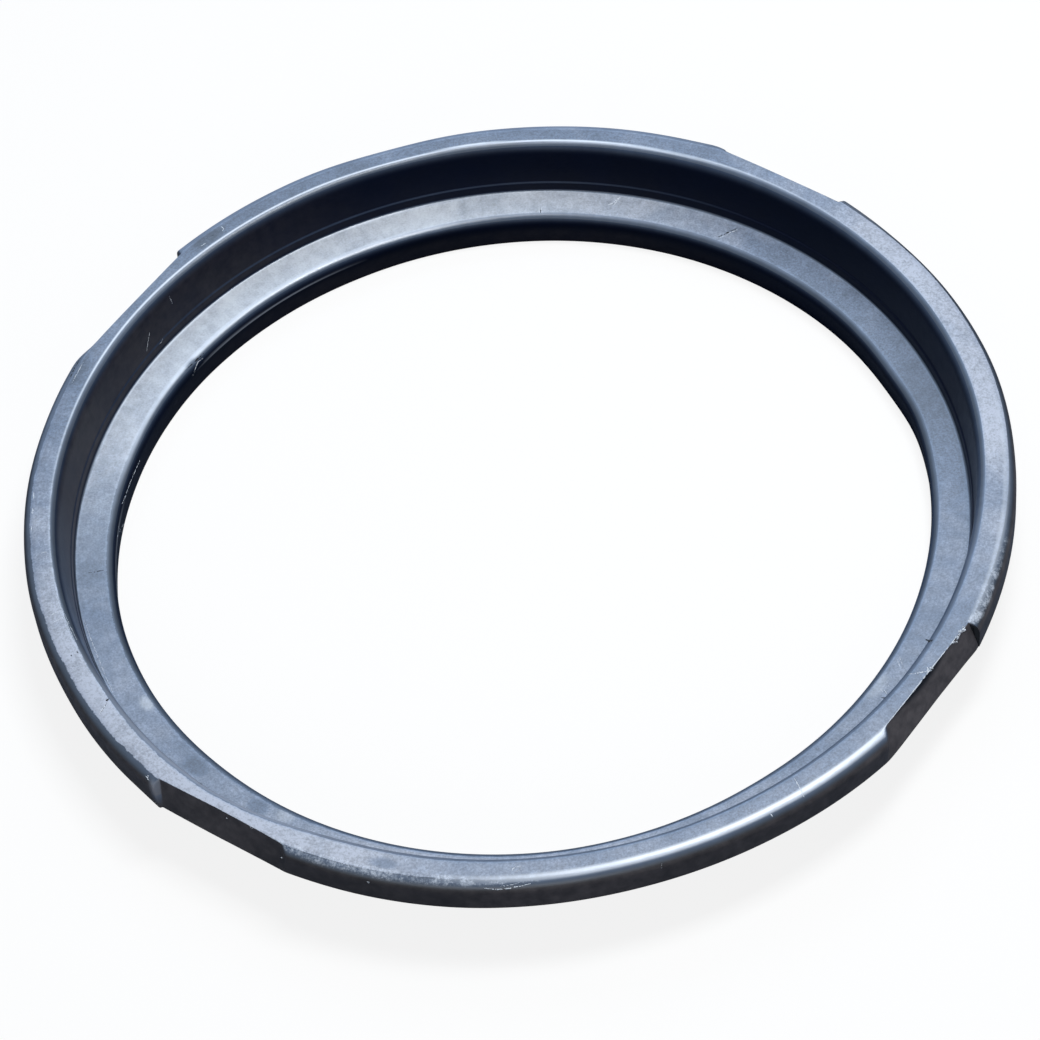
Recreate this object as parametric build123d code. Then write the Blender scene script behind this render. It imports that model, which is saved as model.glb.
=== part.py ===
from build123d import *
from math import cos, degrees, radians, sin
import os

# Manhole riser: one thin-walled ring moulded in black polyethylene.
# A downturned rim carries the outside edge, an inner wall drops to a flat
# cover seat, and a rounded nose turns the seat down into the foot wall.
# Millimetres, +Z up, origin on the ring's axis at the level it rests on.
# Azimuths are degrees counter-clockwise from +X, seen from above.

WALL = 4.0

# Widths, counted outwards from the clear opening
OPENING_R = 305.0
SEAT_WIDTH = 30.2
WALL_DRAFT = 6.6
RIM_WIDTH = 26.2
FOOT_FLARE = 3.0

# Heights, counted up from the foot
SEAT_TOP = 30.0
WALL_HEIGHT = 44.0
SKIRT_DEPTH = 25.5

# Rounded edges
SHOULDER_RADIUS = 9.5
RIM_EDGE_RADIUS = 4.5
NOSE_RADIUS = 6.0

# The small step round the inner wall, above the seat
STEP_HEIGHT = 8.4
STEP_WIDTH = 1.0

# Four flats pressed into the rim: the azimuth each faces, and those of its two ends
FLATS = (
    (48.8, 40.6, 57.6),
    (140.0, 131.2, 151.0),
    (229.6, 220.8, 238.4),
    (318.6, 308.6, 328.4),
)
FLAT_DEPTH_TOP = 13.5
FLAT_DEPTH_FOOT = 5.0

# The one end of a flat where the moulding has split, which has no web across it
SPLIT_END = 328.4

# Where the rim springs outwards beside a flat: where it starts, the flat's end, how far
FLARES = (
    (28.6, 40.6, 2.2),
    (62.6, 57.6, 2.0),
    (215.8, 220.8, 1.7),
    (336.4, 328.4, 1.5),
)

# How far a cutter runs on past what it cuts
OVERRUN = 20.0

seat_r = OPENING_R + SEAT_WIDTH
wall_top_r = seat_r + WALL_DRAFT
rim_r = wall_top_r + RIM_WIDTH
rim_top = SEAT_TOP + WALL_HEIGHT
skirt_foot = rim_top - SKIRT_DEPTH


def turned(corners):
    """A solid of revolution from (radius, height, corner radius) rows."""
    face = make_face(Polyline(*[(r, z) for r, z, _ in corners], close=True))
    for r, z, rounding in corners:
        if rounding:
            vertex = face.vertices().sort_by_distance((r, z, 0))[0]
            face = fillet(vertex, rounding)
    return revolve(Plane.XZ * face, Axis.Z)


def sector(start, end):
    """A wedge about the ring's axis, from one azimuth to the other."""
    reach = 2 * rim_r
    low, high = radians(min(start, end)), radians(max(start, end))
    corners = [(0, 0), (reach * cos(low), reach * sin(low)), (reach * cos(high), reach * sin(high))]
    return extrude(make_face(Polyline(*corners, close=True)), amount=2 * rim_top)


def beyond_flat(azimuth, inset):
    """The space outside a flat's sloping plane, moved inwards by the inset."""
    lean = (FLAT_DEPTH_TOP - FLAT_DEPTH_FOOT) / SKIRT_DEPTH
    top_r = rim_r - FLAT_DEPTH_TOP - inset
    foot_r = rim_r - FLAT_DEPTH_FOOT - inset
    outline = Polyline(
        (top_r - lean * OVERRUN, rim_top + OVERRUN),
        (foot_r + lean * OVERRUN, skirt_foot - OVERRUN),
        (rim_r + 2 * OVERRUN, skirt_foot - OVERRUN),
        (rim_r + 2 * OVERRUN, rim_top + OVERRUN),
        close=True,
    )
    return Rot(0, 0, azimuth) * extrude(Plane.XZ * make_face(outline), amount=rim_r / 2, both=True)


def with_flare(solid, outer_r, top, corner, flare):
    """The solid with a stretch of its outer band sprung outwards, on a wider curve."""
    start, end, lift = flare
    shift = lift / (1 - cos(radians(end - start)))
    band_r = rim_r - SHOULDER_RADIUS - 2 * WALL
    stretch = sector(start, end) - Cylinder(band_r, 4 * rim_top)
    band = turned([
        (band_r + shift - OVERRUN, skirt_foot, 0),
        (outer_r + shift, skirt_foot, 0),
        (outer_r + shift, top, corner),
        (band_r + shift - OVERRUN, top, 0),
    ])
    set_back = Pos(-shift * cos(radians(start)), -shift * sin(radians(start)), 0)
    return (solid - stretch) + (set_back * band & stretch)


# The ring's form with its rim still filled in, and the rim's hollow
wall_slope = WALL_DRAFT / WALL_HEIGHT
step_r = seat_r + wall_slope * STEP_HEIGHT
back_of_wall_r = seat_r + WALL + wall_slope * (skirt_foot - SEAT_TOP)
form = turned([
    (rim_r, skirt_foot, 0),
    (rim_r, rim_top, SHOULDER_RADIUS),
    (wall_top_r, rim_top, RIM_EDGE_RADIUS),
    (step_r + STEP_WIDTH / 2, SEAT_TOP + STEP_HEIGHT, 0),
    (step_r - STEP_WIDTH / 2, SEAT_TOP + STEP_HEIGHT - STEP_WIDTH, 0),
    (seat_r, SEAT_TOP, 0),
    (OPENING_R, SEAT_TOP, NOSE_RADIUS),
    (OPENING_R + FOOT_FLARE, 0, 0),
    (OPENING_R + FOOT_FLARE + WALL, 0, 0),
    (OPENING_R + WALL, SEAT_TOP - WALL, 0),
    (seat_r + WALL, SEAT_TOP - WALL, 0),
    (back_of_wall_r, skirt_foot, 0),
])
hollow = turned([
    (back_of_wall_r, skirt_foot, 0),
    (rim_r - WALL, skirt_foot, 0),
    (rim_r - WALL, rim_top - WALL, 0),
    (wall_top_r + WALL, rim_top - WALL, 0),
])

for flare in FLARES:
    form = with_flare(form, rim_r, rim_top, SHOULDER_RADIUS, flare)
    hollow = with_flare(hollow, rim_r - WALL, rim_top - WALL, 0, flare)

web_turn = degrees(WALL / rim_r)
for azimuth, start, end in FLATS:
    form -= beyond_flat(azimuth, 0) & sector(start, end)
    webbed_end = end if end == SPLIT_END else end + web_turn
    hollow -= beyond_flat(azimuth, WALL) & sector(start - web_turn, webbed_end)

ring = form - hollow

os.makedirs("parts", exist_ok=True)
export_step(ring, "parts/riser_ring.step")
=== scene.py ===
"""Looks of the manhole riser: a used ring moulded in black polyethylene, lying on a pale floor."""

import math

import bmesh
import bpy
import numpy as np
from mathutils import Matrix, Vector
from mathutils.bvhtree import BVHTree


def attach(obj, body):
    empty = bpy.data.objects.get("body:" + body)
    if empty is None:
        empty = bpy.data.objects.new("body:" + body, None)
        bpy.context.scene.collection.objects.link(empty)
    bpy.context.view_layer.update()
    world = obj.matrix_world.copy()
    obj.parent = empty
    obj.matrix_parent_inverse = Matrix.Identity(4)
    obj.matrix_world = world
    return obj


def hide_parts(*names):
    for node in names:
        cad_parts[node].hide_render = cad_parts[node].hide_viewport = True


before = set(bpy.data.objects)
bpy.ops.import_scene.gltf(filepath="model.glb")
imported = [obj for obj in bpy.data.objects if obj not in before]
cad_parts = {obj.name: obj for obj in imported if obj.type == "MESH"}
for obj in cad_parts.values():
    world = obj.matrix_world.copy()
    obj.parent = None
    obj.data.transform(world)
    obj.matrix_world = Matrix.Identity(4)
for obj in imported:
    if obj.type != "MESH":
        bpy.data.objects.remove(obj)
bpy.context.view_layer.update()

MM = 0.001

# The ring's own sizes, in millimetres
WALL = 4.0
OPENING_R = 305.0
SEAT_WIDTH = 30.2
WALL_DRAFT = 6.6
RIM_WIDTH = 26.2
FOOT_FLARE = 3.0
SEAT_TOP = 30.0
WALL_HEIGHT = 44.0
SKIRT_DEPTH = 25.5
SHOULDER_RADIUS = 9.5
RIM_EDGE_RADIUS = 4.5
NOSE_RADIUS = 6.0
STEP_HEIGHT = 8.4
STEP_WIDTH = 1.0
FLAT_DEPTH_TOP = 13.5
FLAT_DEPTH_FOOT = 5.0

SEAT_R = OPENING_R + SEAT_WIDTH
WALL_TOP_R = SEAT_R + WALL_DRAFT
RIM_R = WALL_TOP_R + RIM_WIDTH
RIM_TOP = SEAT_TOP + WALL_HEIGHT
SKIRT_FOOT = RIM_TOP - SKIRT_DEPTH

# The camera: the photograph's side and its focal length in pixels, angles in radians, lengths in metres
IMAGE_SIDE = 1040
FOCAL_PIXELS = 4004.0
SENSOR_WIDTH = 36.0
CAMERA_ELEVATION = 0.8750
CAMERA_ROLL = 0.1251
CAMERA_DISTANCE = 8.2235 * RIM_R * MM
CAMERA_AIM = Vector((-0.0004, 0.0184, 0.0))
FARTHEST_SEEN = 50

# Flats: azimuth faced, start, end, half widths of the slopes at the start and the end, and how far the
# start slants from the top to the foot, all in degrees
FLATS = (
    (48.8, 40.6, 57.6, 0.2, 2, 0),
    (140, 131.2, 150.4, 0.2, 2.2, 0),
    (229.6, 220.6, 238.2, 0.2, 0.7, 0.75),
    (318.6, 310.7, 328.4, 0.7, 0.05, -1.4),
)
# The flat whose web at its start has painted light on it
LIT_WEB_FLAT = FLATS[2]
SPLIT_FLAT = FLATS[3]
SPLIT_END = SPLIT_FLAT[2]
# A flat follows the rim out of round by this share, and its edges are this soft, in millimetres
FLAT_FOLLOWS_RIM = 0.5
FLAT_EDGE_SOFTNESS = 0.3
# Flares beside the flats, where the rim springs out: start, the flat's end, millimetres outwards
FLARES = ((28.6, 40.6, 1.2), (62.6, 57.6, 1.3), (216.3, 221.3, 1.4), (336.4, 328.4, 0.5))

# How far the seat has sunk at the opening, and the rim's top face at the shoulder
SEAT_SAG = 1.9
RIM_SAG = 0.7
RIM_SAG_POWER = 1.3
# Depths under the seat and the rim's top between which these sags build up
SEAT_SAG_DEPTHS = (14, 4)
RIM_SAG_DEPTHS = (14, 5)
# How far outside the opening the seat follows it fully out of round
OPENING_REACH = 8
# How far outside the wall's top its lean starts to fade and is gone, and how far under the top it is full
LEAN_FADE = (5, 14)
LEAN_FULL = 6

# Slow waves in the ring: height in millimetres, lowest and highest harmonic, and seed
OPENING_WAVE = (0.2, 2, 5, 3)
SEAT_WAVE = (0.35, 5, 17, 5)
RIM_WAVE = (0.22, 6, 21, 8)

# How far the rim and the opening have gone out of round in use: azimuth, millimetres outwards
RIM_OUT_OF_ROUND = (
    (9, 2.4), (20, 2.1), (37, 2.3), (48, 2.4), (60, 3.4), (66, 3.1), (80, 1.7), (88, -0.5), (102, -1.2),
    (112, 0.4), (119, 0.7), (128, -0.2), (146, 0.6), (154, 0.3), (162, -0.5), (170, -0.2), (180, -0.9),
    (188, -0.6), (201, -1.7), (216, 0), (226, -0.2), (240, -1.5), (258, -0.6), (277, -2.4), (295, -2.9),
    (308, -1.3), (330, -0.8), (342, -0.3), (355, 0),
)
OPENING_OUT_OF_ROUND = (
    (0, 0.8), (10, 2.6), (18, -0.2), (30, 0.5), (60, 0.7), (75, 0), (90, -1.1), (110, -2.2), (140, -1.1),
    (162, -2.3), (180, -1), (190, 0.5), (205, 0.7), (220, -0.8), (245, -1), (270, -1.5), (282, -2.6),
    (298, -4.4), (320, -3.1), (340, -1.2), (350, 0.1),
)
# Degrees over which these rows are smoothed
SMOOTHED_OVER = 13

# How far the wall's top leans in over the seat, and how far the flats' foot and top edge stand out
WALL_LEAN = (
    (10, 0), (205, 0), (214, -1), (226, -2.6), (233, -1.4), (240, 1), (245, 1.6), (262, 0.6), (285, 0.6),
    (305, 2.2), (332, 2.6), (348, 2), (358, 0.8),
)
FLAT_FOOT_SWELL = (
    (150, 0), (200, 0.8), (229, 0.8), (238, 0.2), (300, 0), (312, 0.3), (320, -0.5), (326, -0.4), (328.4, 0),
)
FLAT_TOP_SWELL = (
    (40, 4.2), (58, 4.4), (70, 0), (134, 0.6), (150, 0.2), (215, 2.8), (221, 2.8), (229, 1.8), (238, 2.2),
    (250, 0), (330, 0),
)

# Columns of points round the ring, in degrees: their usual spacing, how clear of a flat's end that stops,
# and where they stand beside an end that is straight or slants
COLUMN_SPACING = 0.6
END_CLEARANCE = 1.2
BESIDE_STRAIGHT_END = np.array((-1.1, -0.8, -0.5, -0.3, -0.16, -0.05, 0.05, 0.16, 0.3, 0.5, 0.8, 1.1))
BESIDE_SLANTING_END = np.linspace(-1.1, 1.1, 21)
# Ends of the flats, and whether each slants
FLAT_ENDS = (
    (40.6, False), (57.6, False), (131.2, False), (220.95, True), (238.4, False), (310.4, True),
    (328.4, False),
)

# Points of the section: on each path before it is worn, and on the inside, the outside and underneath after.
# A turn of one radian takes as many points as this many millimetres, and a sharper one than the last no more
PATH_POINTS = 220
INSIDE_POINTS, OUTSIDE_POINTS, UNDER_POINTS = 72, 48, 26
SEEN_TURN_WEIGHT, UNDER_TURN_WEIGHT = 9.0, 3.0
SHARPEST_TURN = 1.6

# The ring's material slots
WEATHERED, SHADED, CUT_AND_SHADE_SLOT = range(3)
# An edge sharper than this, in degrees, is shaded sharp
SHARP_EDGE = 38


def rounded_path(corners):
    """Points along a path of (radius, height, reach before, reach after, points) rows, corners softened."""
    points = []
    for index, (r, z, before, after, count) in enumerate(corners):
        here = np.array((r, z))
        if not before:
            points.append(here)
            continue
        back = np.array(corners[index - 1][:2]) - here
        ahead = np.array(corners[index + 1][:2]) - here
        first = here + back / np.linalg.norm(back) * before
        last = here + ahead / np.linalg.norm(ahead) * after
        for share in np.linspace(0, 1, count):
            points.append((1 - share)**2 * first + 2 * share * (1 - share) * here + share**2 * last)
    return np.array(points)


def evenly(path, count, turn_weight=0.0):
    """The path resampled to count points, closer together where it turns."""
    steps = np.diff(path, axis=0)
    lengths = np.hypot(steps[:, 0], steps[:, 1])
    headings = np.unwrap(np.arctan2(steps[:, 1], steps[:, 0]))
    turns = np.abs(np.diff(headings, prepend=headings[0]))
    turns[lengths < 1e-6] = 0
    measure = np.concatenate(([0], np.cumsum(lengths + turn_weight * np.minimum(turns, SHARPEST_TURN))))
    at = np.linspace(0, measure[-1], count)
    return np.stack([np.interp(at, measure, path[:, axis]) for axis in (0, 1)], axis=1)


# The section's three paths. The roundings reach beyond the moulded radii, because they are worn
wall_slope = WALL_DRAFT / WALL_HEIGHT
step_r = SEAT_R + wall_slope * STEP_HEIGHT
back_of_wall_r = SEAT_R + WALL + wall_slope * (SKIRT_FOOT - SEAT_TOP)
top_middle_r = WALL_TOP_R + 10.0
foot_middle_r = OPENING_R + FOOT_FLARE + WALL / 2
skirt_middle_r = RIM_R - WALL / 2
SKIRT_FOOT_ROUNDING = 0.9

inside_path = rounded_path([
    (foot_middle_r, 0, 0, 0, 1),
    (OPENING_R + FOOT_FLARE, 0, 0.8, 0.8, 3),
    (OPENING_R, SEAT_TOP, NOSE_RADIUS + 5.0, NOSE_RADIUS + 3.0, 22),
    (SEAT_R, SEAT_TOP, 1.8, 1.8, 5),
    (step_r - STEP_WIDTH / 2, SEAT_TOP + STEP_HEIGHT - STEP_WIDTH, 0.6, 0.6, 3),
    (step_r + STEP_WIDTH / 2, SEAT_TOP + STEP_HEIGHT, 0.6, 0.6, 3),
    (WALL_TOP_R, RIM_TOP, RIM_EDGE_RADIUS + 5.0, RIM_EDGE_RADIUS + 3.5, 22),
    (top_middle_r, RIM_TOP, 0, 0, 1),
])
outside_path = rounded_path([
    (top_middle_r, RIM_TOP, 0, 0, 1),
    (RIM_R, RIM_TOP, SHOULDER_RADIUS + 2.5, SHOULDER_RADIUS + 0.5, 28),
    (RIM_R, SKIRT_FOOT, SKIRT_FOOT_ROUNDING, SKIRT_FOOT_ROUNDING, 5),
    (skirt_middle_r, SKIRT_FOOT, 0, 0, 1),
])
under_path = rounded_path([
    (skirt_middle_r, SKIRT_FOOT, 0, 0, 1),
    (RIM_R - WALL, SKIRT_FOOT, SKIRT_FOOT_ROUNDING, SKIRT_FOOT_ROUNDING, 4),
    (RIM_R - WALL, RIM_TOP - WALL, 3.0, 3.0, 6),
    (WALL_TOP_R + WALL, RIM_TOP - WALL, 2.0, 2.0, 5),
    (back_of_wall_r, SKIRT_FOOT, 0, 0, 1),
    (SEAT_R + WALL, SEAT_TOP - WALL, 2.5, 2.5, 5),
    (OPENING_R + WALL, SEAT_TOP - WALL, 2.5, 2.5, 5),
    (OPENING_R + FOOT_FLARE + WALL, 0, 0.8, 0.8, 3),
    (foot_middle_r, 0, 0, 0, 1),
])


def azimuths():
    """Azimuths round the ring, closer together at the ends of the flats."""
    plain = np.arange(0, 360, COLUMN_SPACING)
    keep = np.ones(len(plain), bool)
    extra = []
    for end, slants in FLAT_ENDS:
        keep &= np.abs(plain - end) > END_CLEARANCE
        extra.extend(end + (BESIDE_SLANTING_END if slants else BESIDE_STRAIGHT_END))
    return np.sort(np.concatenate((plain[keep], extra)))


def wave(turn, height, lowest, highest, seed):
    """A smooth closed wave round the ring, of a few whole harmonics, at a turn in radians."""
    chance = np.random.default_rng(seed)
    total = 0.0
    for harmonic in range(lowest, highest + 1):
        total += chance.normal() * math.cos(harmonic * turn + chance.uniform(0, 2 * math.pi))
    return height * total / math.sqrt((highest - lowest + 1) / 2)


def between(values, low, high):
    """A smooth step from 0 at low to 1 at high."""
    share = np.clip((values - low) / (high - low), 0, 1)
    return share * share * (3 - 2 * share)


def band(values, start, full, going, gone):
    """A smooth step up to 1 from start to full, and down to 0 again from going to gone."""
    return between(values, start, full) * (1 - between(values, going, gone))


def placed_at(azimuth, r, z):
    """A point in metres, at an azimuth in degrees and a radius and a height in millimetres."""
    turn = math.radians(azimuth)
    return Vector((r * math.cos(turn), r * math.sin(turn), z)) * MM


def new_mesh(name, corners, faces):
    """A mesh of corners in metres and faces."""
    mesh = bpy.data.meshes.new(name)
    mesh.from_pydata([tuple(corner) for corner in corners], [], faces)
    return mesh


def around(rows, azimuth):
    """A value read round the ring from a few (azimuth, value) rows."""
    angles, values = np.array(rows, float).T
    return np.interp(azimuth, np.concatenate((angles - 360, angles, angles + 360)), np.tile(values, 3))


def out_of_round(rows, azimuth):
    """Millimetres by which the rim or the opening stands outside its circle."""
    fine = np.arange(-10.0, 371.0)
    coarse = np.pad(around(rows, fine), SMOOTHED_OVER // 2, mode="edge")
    window = np.hanning(SMOOTHED_OVER)
    return float(np.interp(azimuth, fine, np.convolve(coarse, window / window.sum(), mode="valid")))


def flat_radius(z, azimuth, faced):
    """The radius at which a flat's sloping plane lies, at a height and an azimuth."""
    slope = (FLAT_DEPTH_TOP - FLAT_DEPTH_FOOT) / SKIRT_DEPTH
    return (RIM_R - FLAT_DEPTH_FOOT - slope * (z - SKIRT_FOOT)) / math.cos(math.radians(azimuth - faced))


def pressed_in(r, z, azimuth, rim_lift, inset):
    """Radii brought in to the flats' faces, or to the inset behind them."""
    downwards = (RIM_TOP - z) / SKIRT_DEPTH
    swell = around(FLAT_FOOT_SWELL, azimuth) * downwards + around(FLAT_TOP_SWELL, azimuth) * (1 - downwards)
    for faced, start, end, starting, ending, slant in FLATS:
        starts = start + slant * downwards
        pressed = band(azimuth, starts - starting, starts + starting, end - ending, end + ending)
        if pressed.max() > 0:
            limit = flat_radius(z, azimuth, faced) + FLAT_FOLLOWS_RIM * rim_lift + swell - inset
            r = r - pressed * FLAT_EDGE_SOFTNESS * np.logaddexp(0, (r - limit) / FLAT_EDGE_SOFTNESS)
    return r


def section_at(azimuth):
    """Points round the section at one azimuth: out of round, sagged, leaning and pressed in by its flat."""
    turn = math.radians(azimuth)
    rim_lift = out_of_round(RIM_OUT_OF_ROUND, azimuth)
    opening_lift = out_of_round(OPENING_OUT_OF_ROUND, azimuth) + wave(turn, *OPENING_WAVE)
    seat_rise, rim_rise = wave(turn, *SEAT_WAVE), wave(turn, *RIM_WAVE)
    flare_lift = 0.0
    for start, end, lift in FLARES:
        share = (azimuth - start) / (end - start)
        if 0 < share <= 1:
            flare_lift = lift * share**2
    parts = []
    for path, count, turn_weight in (
        (inside_path, INSIDE_POINTS, SEEN_TURN_WEIGHT),
        (outside_path, OUTSIDE_POINTS, SEEN_TURN_WEIGHT),
        (under_path, UNDER_POINTS, UNDER_TURN_WEIGHT),
    ):
        path_r, z = evenly(path, PATH_POINTS).T
        # How much each point shares in what has happened to each part of the ring
        outer_share = between(path_r, RIM_R - SHOULDER_RADIUS - 2 * WALL, RIM_R - SHOULDER_RADIUS / 2)
        rim_share = between(path_r, SEAT_R, RIM_R - SHOULDER_RADIUS)
        opening_share = 1 - between(path_r, OPENING_R + OPENING_REACH, SEAT_R)
        lean_share = band(path_r, SEAT_R, WALL_TOP_R, WALL_TOP_R + LEAN_FADE[0], WALL_TOP_R + LEAN_FADE[1])
        lean_share *= between(z, SEAT_TOP + STEP_HEIGHT, RIM_TOP - LEAN_FULL)
        on_seat = band(path_r, OPENING_R, OPENING_R + NOSE_RADIUS, SEAT_R - 3, SEAT_R)
        on_seat *= between(z, SEAT_TOP - NOSE_RADIUS, SEAT_TOP)
        seat_sag = np.clip((SEAT_R - path_r) / SEAT_WIDTH, 0, 1)
        seat_sag *= SEAT_SAG * between(SEAT_TOP - z, *SEAT_SAG_DEPTHS)
        rim_sag = np.clip((path_r - WALL_TOP_R - 2) / (RIM_WIDTH - 8), 0, 1)**RIM_SAG_POWER
        rim_sag *= RIM_SAG * between(RIM_TOP - z, *RIM_SAG_DEPTHS)
        r = path_r + rim_lift * rim_share + opening_lift * opening_share + flare_lift * outer_share
        r -= around(WALL_LEAN, azimuth) * lean_share
        if path is not inside_path:
            behind_face = np.clip(RIM_R - path_r, 0, WALL)
            if path is outside_path:
                behind_face[z >= SKIRT_FOOT + SKIRT_FOOT_ROUNDING] = 0
            r = pressed_in(r, z, azimuth, rim_lift, behind_face)
        rise = np.where(z > SEAT_TOP + STEP_HEIGHT, rim_rise * rim_share, 0) + seat_rise * on_seat
        z = z + rise - seat_sag - rim_sag
        parts.append(evenly(np.stack((r, z), axis=1), count, turn_weight)[:-1])
    return np.concatenate(parts)


# How much dust, grime, whitening and scuffing each face and rounding has, and how much painted sheen,
# highlight and reflection, as rows of azimuth and share
TOP_DUST_AND_SHEEN = (
    (0, 1.38), (10, 1.28), (20, 1.3), (35, 1.2), (50, 0.85), (75, 0.66), (120, 0.62), (160, 0.72),
    (182, 1.05), (198, 1.32), (226, 1.4), (236, 1.35), (250, 1.15), (258, 0.95), (280, 0.8), (300, 0.82),
    (315, 0.72), (330, 0.8), (348, 0.95),
)
SEAT_DUST_AND_SHEEN = (
    (0, 0.71), (10, 0.45), (20, 0.54), (45, 0.72), (70, 1), (100, 1.2), (160, 1.12), (170, 0.84), (180, 0.68),
    (190, 0.8), (200, 0.92), (215, 0.88), (250, 1.1), (275, 1.05), (300, 0.85), (345, 0.84),
)
FAR_SHOULDER_SHEEN = ((30, 0), (50, 0.5), (75, 0.7), (135, 0.7), (155, 0.3), (170, 0), (359, 0))
# How ragged the edges of the dust and painted sheen are
RAGGED = (
    (0, 0.1), (60, 0.15), (150, 0.35), (172, 0.9), (234, 0.9), (239, 0.3), (250, 0.35), (257, 0.8),
    (270, 0.4), (320, 0.3), (345, 0.15),
)
SEAT_WHITENING_AND_SHEEN = (
    (50, 0), (72, 0.25), (92, 0.7), (110, 0.6), (130, 0.8), (155, 0.5), (170, 0.15), (190, 0), (240, 0),
)
NEAR_SHEEN = ((196, 0), (205, 0.3), (215, 0.75), (236, 0.75), (246, 0.4), (300, 0.25), (340, 0.2), (355, 0))
RIM_EDGE_REFLECTION = (
    (0, 0.5), (45, 0.5), (90, 0.5), (150, 0.55), (165, 0.35), (200, 0.3), (212, 0.45), (236, 0.5), (248, 0.5),
    (300, 0.55), (340, 0.6),
)
SHOULDER_REFLECTION = (
    (20, 0.15), (60, 0.1), (150, 0.2), (165, 0.4), (200, 0.2), (222, 0.25), (245, 0.35), (300, 0.35),
    (330, 0.3),
)
NOSE_REFLECTION = (
    (0, 0.4), (45, 0.45), (90, 0.6), (150, 0.65), (165, 0.35), (195, 0.35), (215, 0.5), (240, 0.55),
    (330, 0.6),
)
STEP_REFLECTION = ((50, 0), (60, 0.05), (90, 0.1), (110, 0.14), (150, 0.1), (200, 0.05), (300, 0))
WALL_REFLECTION = ((172, 0), (185, 0.12), (200, 0.4), (212, 0.42), (225, 0))
RIM_EDGE_HIGHLIGHT = (
    (0, 0), (30, 0.1), (52, 0.45), (60, 0.9), (75, 1.4), (90, 1.4), (110, 1.35), (145, 1.35), (158, 0.8),
    (170, 0.35), (190, 0.3), (210, 0.15), (230, 0),
)
SHOULDER_SHINE = (
    (8, 0.1), (20, 0), (254, 0), (264, 0.6), (272, 1.05), (280, 1.15), (300, 1.3), (309, 1.25), (311, 1.1),
    (311.8, 0), (328.4, 0), (328.5, 0.35), (334, 0.45), (345, 0.4), (356, 0.25),
)
NOSE_HIGHLIGHT = (
    (0, 0), (70, 0.05), (92, 0.2), (106, 0.8), (115, 1.1), (145, 1.1), (158, 0.5), (166, 0.1), (185, 0),
)
LIP_HIGHLIGHT = ((0, 0), (108, 0), (120, 0.6), (136, 0.5), (141, 0), (165, 0), (172, 0.5), (192, 0.5), (196, 0))
SHOULDER_SCUFF_AND_HIGHLIGHT = (
    (20, 0), (200, 0), (222, 0.15), (238, 0.32), (252, 0.38), (262, 0.42), (272, 0.3), (306, 0.3), (311, 0.3),
    (313, 0), (328.4, 0), (328.5, 0.5), (331, 0.55), (338, 0.3), (346, 0.1), (354, 0),
)
FLAT_EDGE_HIGHLIGHT = ((222, 0), (224, 0.3), (237, 0.3), (238, 0), (310.6, 0), (311.6, 0.8), (327.8, 1), (328.2, 0))
SKIRT_GRIME_AND_LIGHT = (
    (20, 0.8), (150, 0.8), (215, 1), (222, 0.9), (232, 0.9), (242, 0.5), (258, 0.6), (268, 0.95), (285, 0.8),
    (300, 0.85), (312, 1.2), (318, 1.5), (330, 1.4), (345, 1.1),
)
FOOT_GRIME = ((40, 0), (60, 0.12), (75, 0.2), (100, 0.14), (115, 0.2), (150, 0.1), (180, 0))
WALL_GRIME_AND_SHEEN = (
    (105, 0), (118, 0.12), (138, 0.24), (155, 0.28), (170, 0.4), (190, 0.75), (210, 0.95), (225, 0.6),
    (240, 0),
)
# Share of the wall's grime and painted sheen that is left at the wall's top
GRIME_TOP = ((100, 1), (162, 0.9), (185, 0.25), (240, 0.15))

# Rows of azimuth and tilt, in degrees off level: where the level faces' dust and painted sheen starts to fade
# inwards and outwards, where the inner roundings' painted sky reflection ends, and where the shoulder's
# scuffs and painted highlight end
INNER_ENDS = ((20, 8), (60, 6), (150, 6), (195, 8), (212, 8), (236, 9), (245, 12), (325, 12), (345, 9))
OUTER_ENDS = (
    (0, 22), (28, 26), (38, 14), (50, 10), (60, 9), (150, 9), (172, 16), (205, 15), (222, 14), (300, 9),
    (340, 12),
)
REFLECTION_ENDS = ((0, 85), (30, 80), (190, 80), (206, 100), (215, 135), (330, 135), (345, 110))
SCUFF_AND_HIGHLIGHT_ENDS = (
    (222, 40), (238, 66), (254, 62), (264, 44), (272, 34), (311, 34), (328, 40), (330, 80), (341, 74),
    (355, 40),
)

# A fade of the level faces' dust and painted sheen that starts late is narrower, in degrees
LATE_FADE = 11
LATE_FADE_WIDTH = 9
EARLY_FADE_WIDTH = 12

# Tilts in degrees, outwards for the skirt, the shoulder and the flats' edges and inwards for the rest, at
# which each share starts, is full, starts to go and is gone
SCUFF_AND_HIGHLIGHT_TILTS = (4, 12)
INNER_REFLECTION_TILTS = (4, 16)
WALL_TILTS = (55, 72)
SKIRT_TILTS = (40, 75, 100, 120)
SHOULDER_SHEEN_TILTS = (6, 20, 50, 75)
SHOULDER_REFLECTION_TILTS = (8, 22, 20, 66)
SHOULDER_SHINE_TILTS = (5, 12, 14, 31)
FLAT_EDGE_HIGHLIGHT_TILTS = (20, 32, 55, 66)
NEAR_SHEEN_TILTS = (12, 30, 80, 120)
RIM_EDGE_HIGHLIGHT_TILTS = (6, 10, 12, 20)
NOSE_HIGHLIGHT_TILTS = (4, 11, 17, 36)
LIP_HIGHLIGHT_TILTS = (40, 60, 100, 120)
STEP_REFLECTION_TILTS = (10, 30, 60, 78)
FOOT_TILTS = (60, 80, 105, 125)
# The scuffs and painted highlight keep their strength over this share of their tilts
SCUFF_AND_HIGHLIGHT_KEEPS = 0.45
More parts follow.
